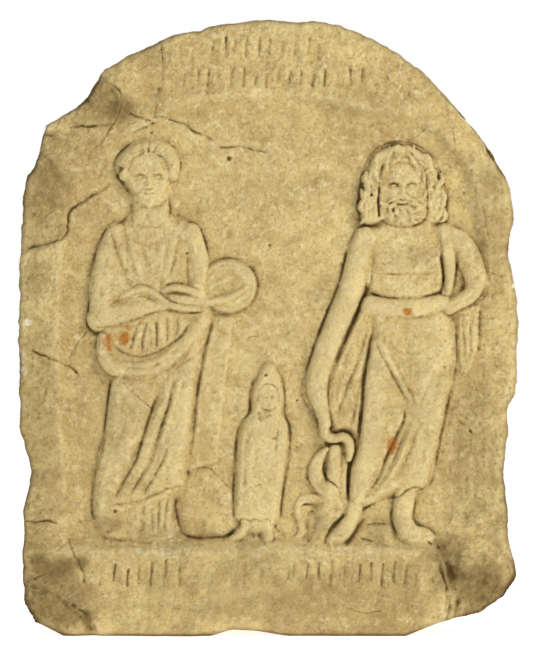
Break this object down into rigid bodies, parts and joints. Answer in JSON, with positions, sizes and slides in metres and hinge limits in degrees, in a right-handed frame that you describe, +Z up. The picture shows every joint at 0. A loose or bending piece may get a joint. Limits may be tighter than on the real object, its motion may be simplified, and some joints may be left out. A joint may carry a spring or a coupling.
{
  "type": "votive relief slab",
  "caption": "Arched stone votive slab with a draped goddess, a small hooded figure and a bearded god in low relief on an inscribed ledge.",
  "frame": {"origin": "middle of the slab's width and thickness, on the surface that it stands on", "axes": "+Z up, the carved front faces -Y, +X to the viewer's right"},
  "size_m": [0.3014, 0.0562, 0.3709],
  "materials": {
    "weathered_stone": "matt, worn, with dirt in the hollows"
  },
  "bodies": {
    "root": {"votive_relief_slab": "weathered_stone"}
  },
  "joints": []
}
